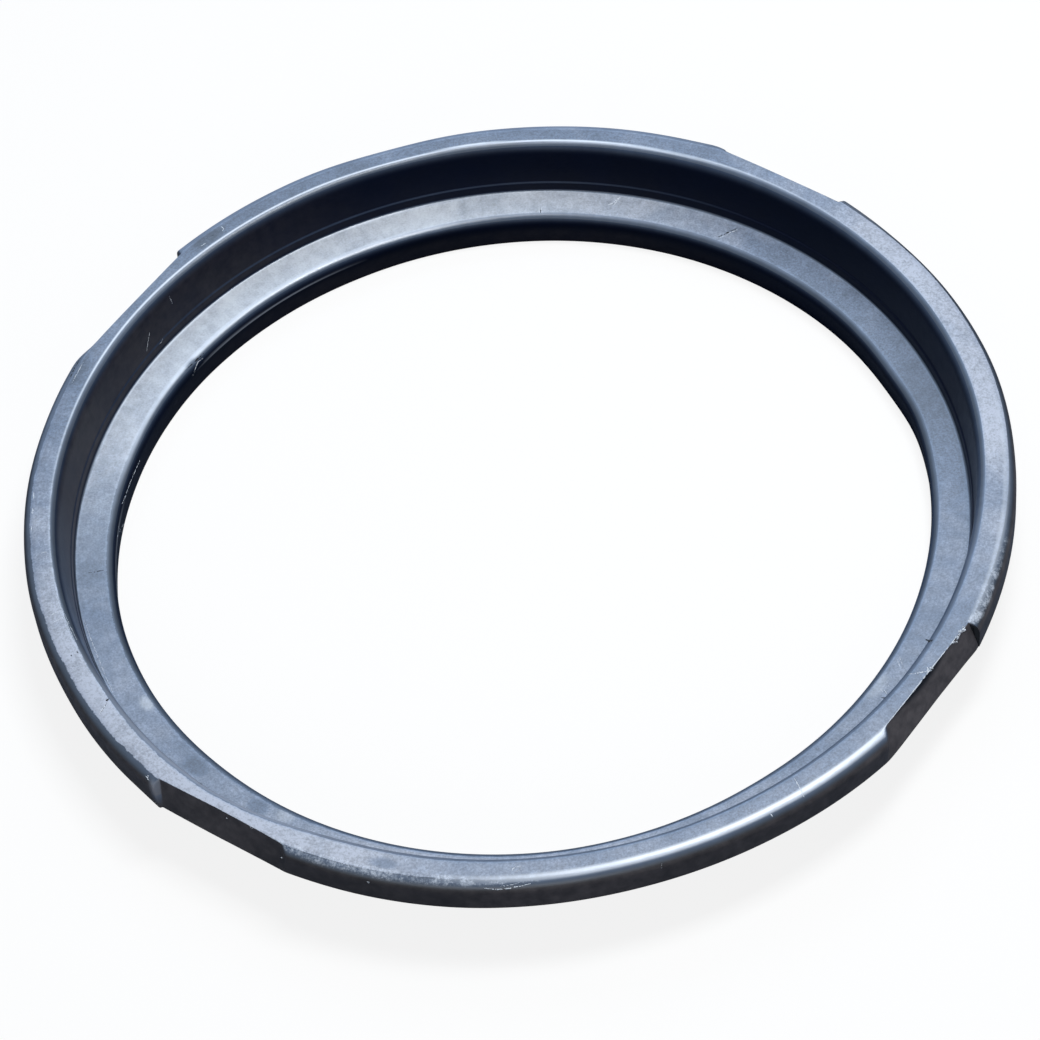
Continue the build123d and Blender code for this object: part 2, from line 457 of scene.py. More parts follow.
# The inner roundings' painted sky reflection thins by a share between two tilts, and fades away over the last
# degrees
INNER_REFLECTION_THINNING = 0.55
INNER_REFLECTION_THINS = (14, 30)
INNER_REFLECTION_FADE = 50
# Tilts in degrees between which a row of faces is upright, and takes the darker, bluer copy that paints the
# walls' shade
UPRIGHT = (50, 130)

# Heights in millimetres, the rim's from its top, the foot's from the floor and the rest from the seat, at
# which each zone starts and is full, and starts to go and is gone
FOOT_ENDS = (12, 20)
GRIME_THINS = (4, 24)
RIM_HEIGHTS = (-16, -12)
WALL_HEIGHTS = (1, 4)
SEAT_HEIGHTS = (-12, -9, 2, 5)
STEP_HEIGHTS = (6.5, 7.5, 9, 10)
LIP_HEIGHTS = (-10.5, -9.5, -9, -8)

# Painted light on the web at the start of the third flat, where its step face catches the light: degrees past
# its slanting corner, tilts, millimetres over which it builds up from the foot, and how much
WEB_REACH = (-1.2, -0.2, 0.1, 0.25)
WEB_TILTS = (20, 50)
WEB_FOOT = 14
WEB_SHEEN = 0.62

# Paler and darker patches: x, y, z, half length along the ring, half width over it, more dust and painted
# sheen, more whitening and painted sheen. The darker patch on the rim's top at azimuth 250 paints the shade
# in a shallow scoop, and the one on the torn nose also takes away its painted highlight
PATCHES = (
    (-285.6, -133.6, 29, 8, 6, 0.1, 0.55), (236.8, -199.7, 29, 15, 9, 0.05, 0.3),
    (-122.5, -332, 74, 12, 5, -0.38, 0), (-252.5, -195.8, 29, 12, 8, -0.35, 0),
    (-210.1, -237.9, 29, 10, 8, -0.35, 0), (-190.7, -247.9, 29, 8, 8, 0.2, 0.3),
    (-323.8, -3.9, 29, 11, 10, -0.15, 0), (-215.5, 282.1, 74, 18, 9, -0.3, 0),
    (-323.6, 160.1, 74, 22, 12, -0.25, 0), (-235.7, 191.8, 27, 9, 9, -0.3, -0.45),
)
# A patch fades between these shares of its half sizes, and reaches this far up and down
PATCH_FADE = (0.5, 1.1)
PATCH_HEIGHT = 6


def paint(turns, sections):
    """Shares for each point of the skin: dust with painted sheen, painted sheen, whitening with painted
    sheen, painted sky reflection, painted highlight, scuffs with painted highlight, and grime with painted
    light.
    """
    ahead = np.roll(sections, -1, axis=1) - np.roll(sections, 1, axis=1)
    outwards = np.degrees(np.arctan2(-ahead[..., 1], ahead[..., 0]))
    inwards = -outwards
    r, z = sections[..., 0], sections[..., 1]
    azimuth = np.broadcast_to(turns[:, None], r.shape)
    on_rim = between(z - RIM_TOP, *RIM_HEIGHTS)
    on_seat = band(z - SEAT_TOP, *SEAT_HEIGHTS)
    on_step = band(z - SEAT_TOP, *STEP_HEIGHTS)
    on_lip = band(z - SEAT_TOP, *LIP_HEIGHTS)
    on_wall = between(inwards, *WALL_TILTS) * between(z - SEAT_TOP, *WALL_HEIGHTS)
    on_foot = band(inwards, *FOOT_TILTS) * (1 - between(z, *FOOT_ENDS))
    on_skirt = between(r, RIM_R - FLAT_DEPTH_TOP, RIM_R - FLAT_DEPTH_TOP + 2) * band(outwards, *SKIRT_TILTS)

    fade = np.where(outwards > 0, around(OUTER_ENDS, azimuth), around(INNER_ENDS, azimuth))
    fade_width = np.where(fade > LATE_FADE, LATE_FADE_WIDTH, EARLY_FADE_WIDTH)
    level = 1 - between(np.abs(outwards), fade, fade + fade_width)
    # Dust on the level faces, with the sky's sheen painted into it
    dust_and_sheen = on_rim * around(TOP_DUST_AND_SHEEN, azimuth) + on_seat * around(SEAT_DUST_AND_SHEEN, azimuth)
    # Whitening on the seat, with painted sheen where the seat tilts towards the light
    whitening_and_sheen = on_seat * level * around(SEAT_WHITENING_AND_SHEEN, azimuth)
    # Painted sheen on the far shoulder, on the web at the third flat's start and on the near side's inner
    # rounding
    past_web = azimuth - LIT_WEB_FLAT[1] - LIT_WEB_FLAT[5] * (RIM_TOP - z) / SKIRT_DEPTH
    on_web = band(past_web, *WEB_REACH) * between(outwards, *WEB_TILTS)
    on_web *= between(z, SKIRT_FOOT, SKIRT_FOOT + WEB_FOOT)
    painted_sheen = on_rim * band(outwards, *SHOULDER_SHEEN_TILTS) * around(FAR_SHOULDER_SHEEN, azimuth)
    painted_sheen += WEB_SHEEN * on_web
    painted_sheen += on_rim * band(inwards, *NEAR_SHEEN_TILTS) * around(NEAR_SHEEN, azimuth)

    # Painted blue sky reflection on the inner roundings, the step, the shoulder and the left wall
    reflection_end = around(REFLECTION_ENDS, azimuth)
    painted_reflection = band(inwards, *INNER_REFLECTION_TILTS, reflection_end - INNER_REFLECTION_FADE, reflection_end)
    painted_reflection *= 1 - INNER_REFLECTION_THINNING * between(inwards, *INNER_REFLECTION_THINS)
    painted_reflection *= on_rim * around(RIM_EDGE_REFLECTION, azimuth) + on_seat * around(NOSE_REFLECTION, azimuth)
    painted_reflection += on_step * band(inwards, *STEP_REFLECTION_TILTS) * around(STEP_REFLECTION, azimuth)
    painted_reflection += on_rim * band(outwards, *SHOULDER_REFLECTION_TILTS) * around(SHOULDER_REFLECTION, azimuth)
    painted_reflection += on_wall * around(WALL_REFLECTION, azimuth)

    # Painted highlights along the rim's inner edge, the near shoulder, the nose and the lip
    painted_highlight = on_rim * band(inwards, *RIM_EDGE_HIGHLIGHT_TILTS) * around(RIM_EDGE_HIGHLIGHT, azimuth)
    painted_highlight += on_rim * band(outwards, *SHOULDER_SHINE_TILTS) * around(SHOULDER_SHINE, azimuth)
    painted_highlight += on_seat * band(inwards, *NOSE_HIGHLIGHT_TILTS) * around(NOSE_HIGHLIGHT, azimuth)
    painted_highlight += on_lip * band(inwards, *LIP_HIGHLIGHT_TILTS) * around(LIP_HIGHLIGHT, azimuth)
    # Scuffs with painted highlight on the near shoulder, and a painted highlight along the flats' top edges
    scuff_and_highlight_end = around(SCUFF_AND_HIGHLIGHT_ENDS, azimuth)
    scuff_and_highlight = on_rim * band(outwards, *SCUFF_AND_HIGHLIGHT_TILTS, SCUFF_AND_HIGHLIGHT_KEEPS * scuff_and_highlight_end, scuff_and_highlight_end)
    scuff_and_highlight *= around(SHOULDER_SCUFF_AND_HIGHLIGHT, azimuth)
    scuff_and_highlight += on_rim * band(outwards, *FLAT_EDGE_HIGHLIGHT_TILTS) * around(FLAT_EDGE_HIGHLIGHT, azimuth)

    # Grime, with painted reflected light on the skirt and painted sheen on the left wall
    grime_and_painted_light = on_skirt * around(SKIRT_GRIME_AND_LIGHT, azimuth) + on_foot * around(FOOT_GRIME, azimuth)
    high = between(z - SEAT_TOP, *GRIME_THINS)
    grime_and_painted_light += on_wall * (1 - high * (1 - around(GRIME_TOP, azimuth))) * around(WALL_GRIME_AND_SHEEN, azimuth)

    x, y = r * np.cos(np.radians(azimuth)), r * np.sin(np.radians(azimuth))
    for at_x, at_y, at_z, length, width, more_dust_and_sheen, more_whitening_and_sheen in PATCHES:
        heading = math.atan2(at_y, at_x)
        over = (x - at_x) * math.cos(heading) + (y - at_y) * math.sin(heading)
        along = (y - at_y) * math.cos(heading) - (x - at_x) * math.sin(heading)
        near = 1 - between(np.hypot(over / width, along / length), *PATCH_FADE)
        near *= np.abs(z - at_z) < PATCH_HEIGHT
        dust_and_sheen = np.maximum(dust_and_sheen + near * more_dust_and_sheen, 0)
        whitening_and_sheen = np.maximum(whitening_and_sheen + near * level * more_whitening_and_sheen, 0)
        # A patch that takes whitening away also takes painted highlight away
        painted_highlight = np.maximum(painted_highlight + 2 * near * min(more_whitening_and_sheen, 0), 0)
    return {"dust_and_sheen": dust_and_sheen, "level": level, "painted_sheen": painted_sheen, "painted_reflection": painted_reflection, "painted_highlight": painted_highlight, "scuff_and_highlight": scuff_and_highlight,
            "whitening_and_sheen": whitening_and_sheen, "grime_and_painted_light": grime_and_painted_light, "ragged": around(RAGGED, azimuth)}


def shaded_rows(sections):
    """Whether each row of faces is on an upright wall, by the tilt that most of it has."""
    ahead = np.roll(sections, -1, axis=1) - np.roll(sections, 1, axis=1)
    tilts = np.median(np.degrees(np.arctan2(ahead[..., 1], ahead[..., 0])), axis=0)
    return (UPRIGHT[0] < tilts) & (tilts < UPRIGHT[1])


# How far under the sagged top face and under the hollow's top the split starts, in millimetres
SPLIT_DEPTH = 0.6
SPLIT_BACK_DEPTH = 1.5


def split_rows(section):
    """The rows between which the split opens, from just below the top face to just below the hollow's top."""
    top_row = INSIDE_POINTS - 1
    while section[top_row, 1] > RIM_TOP - RIM_SAG - SPLIT_DEPTH:
        top_row += 1
    back_row = INSIDE_POINTS + OUTSIDE_POINTS
    while section[back_row, 1] < RIM_TOP - WALL - SPLIT_BACK_DEPTH:
        back_row += 1
    return top_row, back_row


def ring_mesh():
    """The ring's skin: section rows round the axis, with one end of one flat split open."""
    turns = azimuths()
    sections = np.array([section_at(azimuth) for azimuth in turns])
    columns, rows = sections.shape[:2]
    angle = np.radians(turns)[:, None]
    r, z = sections[..., 0], sections[..., 1]
    corners = np.stack((r * np.cos(angle) * MM, r * np.sin(angle) * MM, z * MM), axis=-1).reshape(-1, 3)
    split = int(np.searchsorted(turns, SPLIT_END)) - 1
    top_row, back_row = split_rows(sections[split])
    # Upright rows take the darker, bluer copy of the material, which paints the walls' shade and the blue
    # reflection in them
    shaded = shaded_rows(sections)
    faces, slots = [], []
    for column in range(columns):
        here, beside = column * rows, (column + 1) % columns * rows
        for row in range(rows):
            if column == split and top_row <= row < back_row:
                continue
            above = (row + 1) % rows
            faces.append((here + row, beside + row, beside + above, here + above))
            slots.append(SHADED if shaded[row] else WEATHERED)
    # The wall's two cut ends, closed by faces from the outside to the underside, and a face that joins them
    for column, flip in ((split, False), (split + 1, True)):
        low, high = top_row, back_row
        while low + 1 < high:
            corner = [column * rows + row for row in (low, low + 1, high - 1, high)]
            if low + 1 == high - 1:
                corner.pop(1)
            faces.append(tuple(reversed(corner)) if flip else tuple(corner))
            low += 1
            high -= 1
    here, beside = split * rows, (split + 1) * rows
    faces.append((here + top_row, here + back_row, beside + back_row, beside + top_row))
    # The cut ends and the face that joins them are black, which paints the shade in the split
    slots.extend([CUT_AND_SHADE_SLOT] * (len(faces) - len(slots)))
    mesh = new_mesh("weathered_ring", corners, faces)
    mesh.polygons.foreach_set("material_index", slots)
    for name, shares in paint(turns, sections).items():
        layer = mesh.attributes.new(name, "FLOAT", "POINT")
        layer.data.foreach_set("value", shares.reshape(-1).astype(np.float32))
    work = bmesh.new()
    work.from_mesh(mesh)
    bmesh.ops.recalc_face_normals(work, faces=work.faces)
    for face in work.faces:
        face.smooth = True
    for edge in work.edges:
        if len(edge.link_faces) == 2 and edge.calc_face_angle(0) > math.radians(SHARP_EDGE):
            edge.smooth = False
    work.to_mesh(mesh)
    work.free()
    return mesh


# The torn web, a black sheet that paints the deep shade in the split: millimetres from the skirt's foot and
# into the rim's top, degrees before and behind the split, how far its two faces lie inside the flat's, and
# its rows and columns of points
TORN_FOOT, TORN_TOP = 0.4, 0.6
TORN_BEFORE, TORN_BEHIND = 0.3, 2.2
TORN_INSETS = (0.25, 2.8)
TORN_ROWS, TORN_COLUMNS = 9, 8


def tucked_web():
    """The torn web: the flat's face carried on behind the end of the rim, where the split shows it."""
    heights = np.linspace(SKIRT_FOOT + TORN_FOOT, RIM_TOP - WALL + TORN_TOP, TORN_ROWS)
    turns = np.linspace(SPLIT_END - TORN_BEFORE, SPLIT_END + TORN_BEHIND, TORN_COLUMNS)
    rim_lift = out_of_round(RIM_OUT_OF_ROUND, SPLIT_END)
    points, faces = [], []
    for azimuth in turns:
        for inset in TORN_INSETS:
            for z in heights:
                r = flat_radius(z, azimuth, SPLIT_FLAT[0]) + FLAT_FOLLOWS_RIM * rim_lift
                points.append(placed_at(azimuth, min(r, RIM_R - WALL + rim_lift) - inset, z))
    loop_size = 2 * len(heights)
    loop = list(range(len(heights))) + list(range(loop_size - 1, len(heights) - 1, -1))
    for start in range(0, len(points) - loop_size, loop_size):
        beside = start + loop_size
        for here, there in zip(loop, loop[1:] + loop[:1]):
            faces.append((start + here, start + there, beside + there, beside + here))
    faces.append(tuple(loop))
    faces.append(tuple(len(points) - loop_size + k for k in reversed(loop)))
    return new_mesh("split_shade_web", points, faces)


POLYETHYLENE_IOR = 1.54
# Most of a noise's values lie in this range
NOISE_RANGE = (0.32, 0.68)


def linear(hex_colour):
    """An sRGB hex colour as linear red, green, blue and one."""
    channels = [int(hex_colour[i:i + 2], 16) / 255 for i in (1, 3, 5)]
    return tuple(c / 12.92 if c <= 0.04045 else ((c + 0.055) / 1.055) ** 2.4 for c in channels) + (1.0,)


def add(owner, kind, links=None, **settings):
    """Adds a node: settings by attribute name or input name, links from outputs to inputs."""
    node = owner.node_tree.nodes.new(kind)
    for name, value in settings.items():
        if hasattr(node, name):
            setattr(node, name, value)
        else:
            node.inputs[name.replace("_", " ")].default_value = value
    for name, output in (links or {}).items():
        owner.node_tree.links.new(output, node.inputs[name])
    return node


def join(node, *values):
    """Sets a node's inputs, given as pairs of a socket and a number, a hex colour or a node's output."""
    for socket, value in values:
        if isinstance(value, (int, float)):
            node.inputs[socket].default_value = value
        elif isinstance(value, str):
            node.inputs[socket].default_value = linear(value)
        else:
            node.id_data.links.new(value, node.inputs[socket])
    return node


def mixed(owner, share, first, second):
    """A mix of two colours, each a hex colour or an output. A colour mix has them at sockets 6 and 7."""
    node = add(owner, "ShaderNodeMix", {"Factor": share}, data_type="RGBA")
    return join(node, (6, first), (7, second)).outputs[2]


def noise(owner, place, size, detail, roughness, distortion=0.0):
    """Noise whose largest spots are about so many millimetres across."""
    return add(owner, "ShaderNodeTexNoise", {"Vector": place}, Scale=1 / (size * MM), Detail=detail,
               Roughness=roughness, Distortion=distortion).outputs["Fac"]


def new_material(name, specular=0.5):
    """A polyethylene material, its shader, and the place it is read at."""
    material = bpy.data.materials.new(name)
    material.use_nodes = True
    shader = material.node_tree.nodes["Principled BSDF"]
    join(shader, ("IOR", POLYETHYLENE_IOR), ("Specular IOR Level", specular))
    return material, shader, add(material, "ShaderNodeTexCoord").outputs["Object"]


def weathered_polyethylene(name, specular, darkest, dark):
    """Black moulded polyethylene, waxy and satin, with dust, whitening, scuffs and grime, and with sheen,
    highlights and sky reflections painted on.
    """
    material, shader, place = new_material(name, specular)

    def ranged(value, low, high, new_low, new_high, steps="LINEAR"):
        return add(material, "ShaderNodeMapRange", {"Value": value}, From_Min=low, From_Max=high,
                   To_Min=new_low, To_Max=new_high, interpolation_type=steps).outputs["Result"]

    def calculated(operation, first, second):
        return join(add(material, "ShaderNodeMath", operation=operation), (0, first), (1, second)).outputs[0]

    def plus(first, second):
        return calculated("ADD", first, second)

    def times(first, second):
        return calculated("MULTIPLY", first, second)

    def vector(operation, first, second=None, **settings):
        links = {0: first} if second is None else {0: first, 1: second}
        return add(material, "ShaderNodeVectorMath", links, operation=operation, **settings).outputs

    def zone(name):
        return add(material, "ShaderNodeAttribute", attribute_name=name).outputs["Fac"]

    def varied(value, *ranges):
        """A value multiplied by patterns, each ranging from its low to its high."""
        for pattern, low, high in ranges:
            value = times(value, ranged(pattern, *NOISE_RANGE, low, high))
        return value

    def offset(value, *strengths):
        """A value with patterns added, each about nought and as strong as its number."""
        for pattern, strength in strengths:
            value = plus(value, times(calculated("SUBTRACT", pattern, 0.5), strength))
        return value

    # Where a point is round the ring, and how far over it from the axis and the floor
    parts = add(material, "ShaderNodeSeparateXYZ", {"Vector": place}).outputs
    flat_place = add(material, "ShaderNodeCombineXYZ", {"X": parts["X"], "Y": parts["Y"]}).outputs[0]
    facing = vector("NORMALIZE", flat_place)["Vector"]
    over_ring = plus(vector("LENGTH", flat_place)["Value"], parts["Z"])
    lift = add(material, "ShaderNodeCombineXYZ", {"Z": over_ring}).outputs[0]

    def streaks(along, over, detail, roughness):
        """Noise drawn out to so many millimetres along the rim and so many over it."""
        slow = vector("SCALE", facing, Scale=RIM_R * MM * over / along)[0]
        return noise(material, vector("ADD", slow, lift)[0], over, detail, roughness)

    # Sizes in millimetres: clouds, blotches, grains and specks of dust, the mould's own grain, fine marks
    # drawn along the ring, and streaks running over it
    clouds = noise(material, place, 45.45, 5.0, 0.6, distortion=0.5)
    blotches = noise(material, place, 9.091, 4.0, 0.6)
    grains = noise(material, place, 3.846, 3.0, 0.65)
    speckle = noise(material, place, 1.613, 2.0, 0.7)
    moulded_grain = noise(material, place, 1.111, 2.0, 0.5)
    drawn = streaks(23.0, 1.25, 3.0, 0.65)
    crossing = streaks(12.39, 92.59, 5.0, 0.6)

    # The dust and painted sheen ends in a ragged edge: the patterns only move it where the level share is
    # part way
    level = zone("level")
    part_way = times(times(level, calculated("SUBTRACT", 1.0, level)), zone("ragged"))
    shift = times(offset(0.0, (blotches, 7.2), (speckle, 3.6), (clouds, 4.8)), part_way)
    level = ranged(plus(level, shift), 0.25, 0.7, 0.0, 1.0, "SMOOTHSTEP")
    # Dust with the sky's sheen painted into it, and the painted sheen of the roundings
    thickness = zone("dust_and_sheen")
    dust_and_sheen = varied(thickness, (clouds, 0.56, 0.78), (blotches, 0.87, 1.12), (grains, 0.85, 1.14),
                  (speckle, 0.74, 1.24), (drawn, 0.92, 1.08))
    dust_and_sheen = plus(times(dust_and_sheen, level), varied(zone("painted_sheen"), (clouds, 0.6, 0.85)))
    # Painted blue sky reflection
    painted_reflection = varied(zone("painted_reflection"), (clouds, 0.75, 1.0), (crossing, 0.85, 1.1))
    # Whitening on the seat, with painted sheen
    whitening_and_sheen = varied(zone("whitening_and_sheen"), (clouds, 0.74, 1.16), (crossing, 0.75, 1.2), (blotches, 0.75, 1.18),
                      (speckle, 0.86, 1.12))
    # Grime, with painted reflected light and sheen
    grime_and_painted_light = varied(zone("grime_and_painted_light"), (blotches, 0.5, 1.0), (clouds, 0.7, 1.0))
    # The painted highlights are even, the scuffs with their painted highlight break up into flecks
    painted_highlight = varied(zone("painted_highlight"), (clouds, 0.85, 1.05), (blotches, 0.94, 1.05))
    scuff_and_highlight_share = zone("scuff_and_highlight")
    scuff_and_highlight = offset(scuff_and_highlight_share, (blotches, 1.2), (speckle, 1.0), (crossing, 0.6))
    scuff_and_highlight = ranged(scuff_and_highlight, 0.15, 0.95, 0.0, 0.9, "SMOOTHSTEP")
    painted_highlight = calculated("MAXIMUM", painted_highlight, times(scuff_and_highlight, ranged(scuff_and_highlight_share, 0.02, 0.3, 0.0, 1.0)))

    # Where the dust and painted sheen is thin it is painted in the sky's blue, where it is thick it is paler
    # and greyer
    tone = ranged(offset(thickness, (clouds, 1.0)), 0.7, 1.25, 0.0, 1.0)
    colour = mixed(material, clouds, darkest, dark)
    # Laid over the black in turn: grime with painted light, dust with painted sheen, painted sky reflection,
    # whitening with painted sheen, and painted highlights
    for share, laid_over in (
        (grime_and_painted_light, "#6b6566"),
        (dust_and_sheen, mixed(material, tone, "#97a8c4", "#b5bac8")),
        (painted_reflection, "#8095b5"),
        (whitening_and_sheen, "#d0d6de"),
        (times(painted_highlight, 0.9), "#dde4f0"),
    ):
        colour = mixed(material, share, colour, laid_over)
    # Faces under dust and painted sheen are duller, edges under painted highlight shinier
    roughness = offset(ranged(dust_and_sheen, 0.0, 0.6, 0.38, 0.46), (blotches, 0.12))
    roughness = plus(roughness, times(painted_highlight, -0.1))
    height = plus(plus(times(moulded_grain, 0.25), times(drawn, 0.3)), times(blotches, 0.9))
    bump = add(material, "ShaderNodeBump", {"Height": height}, Strength=0.25, Distance=0.6 * MM)
    join(shader, ("Base Color", colour), ("Roughness", roughness), ("Normal", bump.outputs["Normal"]))
    return material


def marked_polyethylene(name, tone, other_tone, roughness):
    """Polyethylene in two tones in flecks of 1.1 mm, for pale stretched marks, which also paint a few
    highlights, and for black that is cut and that paints the shade in the split, cuts and nicks.
    """
    material, shader, place = new_material(name)
    flecks = noise(material, place, 1.111, 3.0, 0.5)
    bump = add(material, "ShaderNodeBump", {"Height": flecks}, Strength=0.4, Distance=0.3 * MM)
    join(shader, ("Base Color", mixed(material, flecks, tone, other_tone)), ("Roughness", roughness),
         ("Normal", bump.outputs["Normal"]))
    return material


def camera_axes():
    """The camera's three axes, across, up and behind, with the photograph's elevation and roll."""
    forward = Vector((0, math.cos(CAMERA_ELEVATION), -math.sin(CAMERA_ELEVATION)))
    right = Vector((1, 0, 0))
    upward = right.cross(forward)
    across = math.cos(CAMERA_ROLL) * right - math.sin(CAMERA_ROLL) * upward
    above = math.sin(CAMERA_ROLL) * right + math.cos(CAMERA_ROLL) * upward
    return across, above, -forward


across, above, behind = camera_axes()
camera_place = CAMERA_AIM + CAMERA_DISTANCE * behind


def in_scene(name, data, *materials):
    """An object in the scene, with its materials in their slots."""
    thing = bpy.data.objects.new(name, data)
    for material in materials:
        data.materials.append(material)
    bpy.context.scene.collection.objects.link(thing)
    return thing


def seen_at(skin, x, y):
    """Where the line through a pixel of the photograph meets the ring, and which way it faces there."""
    half = IMAGE_SIDE / 2
    ray = across * ((x - half) / FOCAL_PIXELS) + above * ((half - y) / FOCAL_PIXELS) - behind
    return skin.ray_cast(camera_place, ray.normalized())[:2]


# In millimetres: how far a scratch's points waver, how deep scratches and burrs are rooted in the ring, and
# the longest step over which a scratch isn't broken
WAVER = 0.12
SCRATCH_ROOT = 0.03
BURR_ROOT = 0.05
LONGEST_STEP = 5
FLAKES = 4
# A flat's edge is looked for this far under the rim's top, at azimuths this far apart
EDGE_DEPTH = 8
EDGE_SPACING = 0.35


def scratch_points(skin, path, chance):
    """Points a pixel apart along a scratch on the ring, with which way the ring faces at each."""
    measure = np.concatenate(([0], np.cumsum(np.hypot(*np.diff(path, axis=0).T))))
    points = []
    for step in np.linspace(0, measure[-1], max(3, round(measure[-1]))):
        x, y = np.interp(step, measure, path[:, 0]), np.interp(step, measure, path[:, 1])
        place, normal = seen_at(skin, x, y)
        if place is not None:
            points.append((place + WAVER * MM * Vector(chance.normal(size=3)), normal))
    return points


def add_scratch(points, width, rise, broken, chance, corners, faces):
    """A low ridge that a scratch has ploughed up, tapered at both ends and broken here and there."""
    for index, (place, normal) in enumerate(points):
        here = index / (len(points) - 1)
        ahead = points[min(index + 1, len(points) - 1)][0] - points[max(index - 1, 0)][0]
        sideways = normal.cross(ahead).normalized()
        half = 0.5 * width * MM * (0.25 + 0.75 * math.sin(math.pi * here)**0.5) * chance.uniform(0.6, 1.25)
        root = place - SCRATCH_ROOT * MM * normal
        corners.extend((root - half * sideways, place + rise * MM * normal, root + half * sideways))
        step = (place - points[index - 1][0]).length
        if index and chance.uniform() > broken and step < LONGEST_STEP * MM:
            last = len(corners) - 3
            faces.extend(((last - 3, last - 2, last + 1, last), (last - 2, last - 1, last + 2, last + 1)))


def add_burr(place, normal, size, chance, corners, faces):
    """A few torn flakes standing up from one place."""
    for _ in range(FLAKES):
        along = normal.orthogonal().normalized()
        spread = Matrix.Rotation(chance.uniform(0, 2 * math.pi), 3, normal) @ along
        beside = normal.cross(spread)
        base = place + 0.35 * size * MM * (chance.normal() * spread + chance.normal() * beside)
        reach = 1.4 * size * MM * chance.uniform(0.5, 1.0)
        root = base - BURR_ROOT * MM * normal
        first = len(corners)
        # Three corners at its foot, and a tip that leans outwards
        corners.extend((
            root - 0.45 * reach * beside,
            root + 0.45 * reach * beside,
            root + 0.5 * reach * spread,
            base + reach * (0.35 * normal + 0.4 * spread),
        ))
        for face in ((0, 1, 2), (0, 3, 1), (1, 3, 2), (2, 3, 0)):
            faces.append(tuple(first + corner for corner in face))


def flat_edge_points(start, end):
    """Points along the edge that one flat makes with the rim's top face."""
    points = []
    for azimuth in np.arange(start, end, EDGE_SPACING):
        outside = section_at(azimuth)[INSIDE_POINTS - 1:INSIDE_POINTS + OUTSIDE_POINTS - 2]
        outside = outside[outside[:, 1] > RIM_TOP - EDGE_DEPTH]
        steps = np.diff(outside, axis=0)
        sharpest = int(np.argmax(-np.diff(np.arctan2(steps[:, 1], steps[:, 0])))) + 1
        turn = math.radians(azimuth)
        points.append((placed_at(azimuth, *outside[sharpest]),
                       Vector((math.cos(turn), math.sin(turn), 1)).normalized()))
    return points


def marks_mesh(name, skin, scratches, burrs, rise, broken, seed, edges=()):
    """All marks of one kind as one mesh: scratches, painted highlights along flats' edges, and burrs."""
    chance = np.random.default_rng(seed)
    corners, faces = [], []
    for width, *pixels in scratches:
        points = scratch_points(skin, np.reshape(pixels, (-1, 2)), chance)
        if len(points) > 1:
            add_scratch(points, width, rise, broken, chance, corners, faces)
    for start, end, width in edges:
        add_scratch(flat_edge_points(start, end), width, rise, broken, chance, corners, faces)
    for x, y, size in burrs:
        place, normal = seen_at(skin, x, y)
        if place is not None:
            add_burr(place, normal, size, chance, corners, faces)
    return new_mesh(name, corners, faces)


# Marks as the photograph shows them: width in millimetres, then x and y of each pixel along the mark
# Most pale marks are scratches; the two arcs on the near shoulder and the long thin line along a scoop's
# ridge on the rim's top are painted highlights
PALE_SCRATCH_AND_HIGHLIGHT_LINES = (
    (0.9, 908.3, 674.2, 917, 673, 926.7, 671.7), (0.7, 927.2, 665, 927.8, 672),
    (1.1, 926.7, 673.5, 930.5, 669), (0.7, 896.7, 658.3, 900, 666.7), (0.6, 899.5, 657, 902.5, 664.5),
    (0.7, 886.7, 681.7, 889.2, 686.7), (0.6, 884, 690, 887.5, 694), (0.5, 880, 688.5, 883, 692.5),
    (0.8, 794.2, 778.3, 798.3, 785, 801.7, 791.7, 804.5, 798), (1, 33.8, 492, 33.5, 500),
    (1.1, 32.8, 507, 32.4, 514), (0.9, 31.6, 526, 31.4, 531), (0.4, 53, 588, 60, 606, 69, 628, 78, 648),
    (0.35, 63, 610, 70, 626, 77, 640), (0.8, 44, 618, 53, 614, 62, 610), (0.6, 50, 624, 58, 620, 65, 616),
    (0.5, 41, 553, 47, 552), (0.6, 99, 715, 104, 707, 108, 700),
    (0.6, 84, 620, 95, 650, 106, 677.5, 116, 700), (0.8, 118, 526, 121, 531, 123, 536),
    (0.5, 124, 523.5, 119.5, 531, 117.5, 537), (0.4, 140, 460, 131, 480, 125, 497, 122, 504),
    (0.35, 169, 296, 171, 300, 172.5, 304), (0.2, 149.5, 332, 148, 342, 146.5, 352),
    (0.25, 163, 339, 160, 344), (1.1, 221, 226.5, 223.5, 228.5, 222.5, 231), (0.6, 201, 246, 206, 243),
    (0.5, 83.5, 362, 75, 377, 72, 383), (0.8, 146, 776, 149, 780.5),
    (0.5, 193, 375, 195.5, 368, 198, 362, 203, 358), (1.4, 607.5, 205, 612, 203.5, 617, 199.5, 620.5, 197),
    (0.6, 613, 205.5, 619, 199.5), (1, 577, 200.4, 581, 199.6), (1.1, 539, 207, 539.4, 213),
    (0.7, 541.5, 208, 542, 213.5), (0.8, 719, 238.5, 729, 233.5, 738, 229.5),
    (0.8, 484, 888.2, 497, 889.6, 510, 888.3, 523, 885.6, 531.7, 883.3),
    (0.5, 500, 886.4, 511, 885, 520, 882.4), (0.8, 511.5, 872, 513, 868.5, 516.5, 866.8, 521, 866.6),
    (0.6, 515.5, 871.5, 521.5, 869.5), (1, 661.7, 863.3, 661.5, 868.5),
    (0.35, 281, 844.2, 305, 852.2, 330, 859.6, 355, 866.9, 370, 869.8), (1.4, 657, 855, 660.5, 853.5),
    (1.2, 770.5, 813.5, 772.5, 816.5),
)
